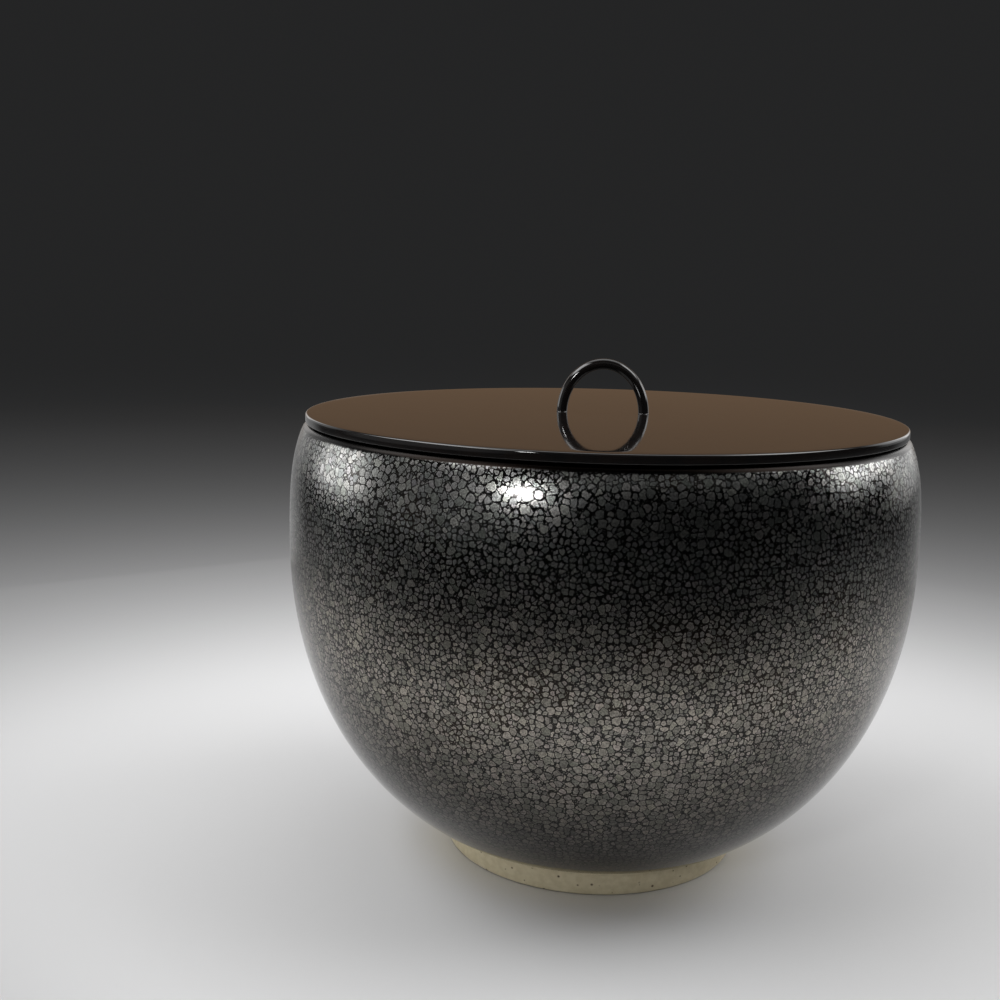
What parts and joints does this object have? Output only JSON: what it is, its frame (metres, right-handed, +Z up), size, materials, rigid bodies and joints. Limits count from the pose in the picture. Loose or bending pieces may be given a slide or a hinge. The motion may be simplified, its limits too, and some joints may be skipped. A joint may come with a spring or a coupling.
{
  "type": "lidded water jar",
  "caption": "Round lidded stoneware water jar with an oil-spot glaze and a bare foot ring, closed by a thin flat black lacquered lid that lifts off by a slim loop knob",
  "frame": {"origin": "on the jar's axis, in the plane that the foot ring stands on", "axes": "+Z is up, along the jar's axis. The knob's arch stands across X, and -Y faces the viewer of the picture"},
  "size_m": [0.2, 0.2, 0.1602],
  "materials": {
    "glazed_stoneware": "silver-grey oil-spot glaze on black, satin gloss, with bare cream clay at the foot",
    "black_lacquer": "polished black lacquer on turned wood"
  },
  "bodies": {
    "jar": {"jar": "glazed_stoneware"},
    "lid": {"lid": "black_lacquer", "knob_loop": "black_lacquer"}
  },
  "joints": [
    {"name": "lid_lift", "type": "slide", "parent": "jar", "child": "lid", "axis": [0, 0, 1], "range_m": [0, 0.16]}
  ]
}
